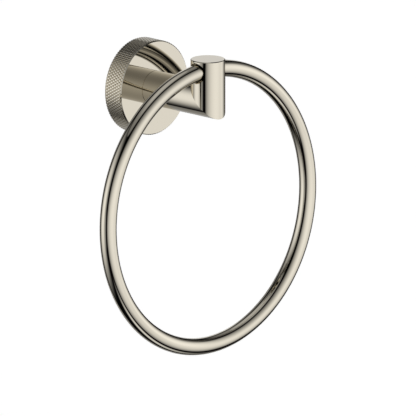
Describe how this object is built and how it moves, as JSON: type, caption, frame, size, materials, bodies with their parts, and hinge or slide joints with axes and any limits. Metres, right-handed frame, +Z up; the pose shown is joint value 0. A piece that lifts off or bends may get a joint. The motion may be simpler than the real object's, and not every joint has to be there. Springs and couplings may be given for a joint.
{
  "type": "towel ring",
  "caption": "Wall-mounted towel ring: a closed round-bar ring that swings in the bore of an upturned post, on a round flange with a knurled rim.",
  "frame": {"origin": "centre of the flange's back on the wall plane, on the arm's axis", "axes": "+Z up, +Y into the wall, +X to the right of someone who faces the wall"},
  "size_m": [0.1716, 0.066, 0.1766],
  "materials": {
    "polished_nickel": "nickel-plated brass, polished to a warm mirror; the flange's rim is diamond-knurled",
    "steel": "plain zinc-bright steel, hidden behind the flange"
  },
  "bodies": {
    "bracket": {"flange": "polished_nickel", "wall_plate": "steel", "arm_and_post": "polished_nickel", "arm_screw": "steel", "arm_washer": "steel", "locating_pin": "steel", "grub_screw": "steel"},
    "ring": {"ring": "polished_nickel"}
  },
  "joints": [
    {"name": "ring_swing", "type": "hinge", "parent": "bracket", "child": "ring", "pos_m": [0, -0.056, 0.0169], "axis": [1, 0, 0], "range_deg": [-198, 18]}
  ]
}
